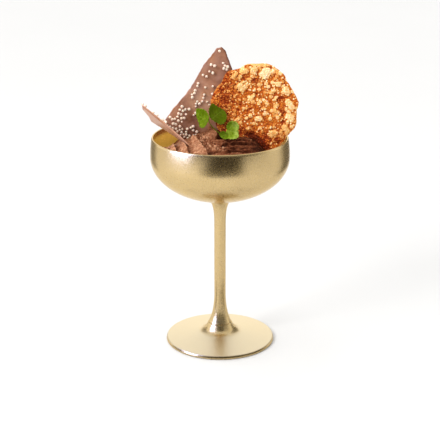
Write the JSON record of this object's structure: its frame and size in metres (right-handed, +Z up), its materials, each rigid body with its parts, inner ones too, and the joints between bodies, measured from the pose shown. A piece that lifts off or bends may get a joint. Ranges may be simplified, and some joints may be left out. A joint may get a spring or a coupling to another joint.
{
  "type": "chocolate mousse in a stemmed coupe",
  "caption": "Chocolate mousse served in a gold stemmed coupe, topped with sugared chocolate shards, a round caramel crisp and a herb sprig.",
  "frame": {"origin": "centre of the foot's flat underside, on the table", "axes": "+Z up along the stem's axis, -Y towards the front of the serving, +X towards the caramel crisp's side"},
  "size_m": [0.1035, 0.0944, 0.2058],
  "materials": {
    "gold_metal": "satin",
    "mousse": "matte",
    "chocolate": "satin",
    "caramel": "gloss",
    "leaf": "satin",
    "sugar": "satin"
  },
  "bodies": {
    "root": {"coupe_glass": "gold_metal", "mousse": "mousse", "shard_tall": "chocolate", "shard_left": "chocolate", "caramel_crisp": "caramel", "herb_sprig": "leaf"}
  },
  "joints": []
}
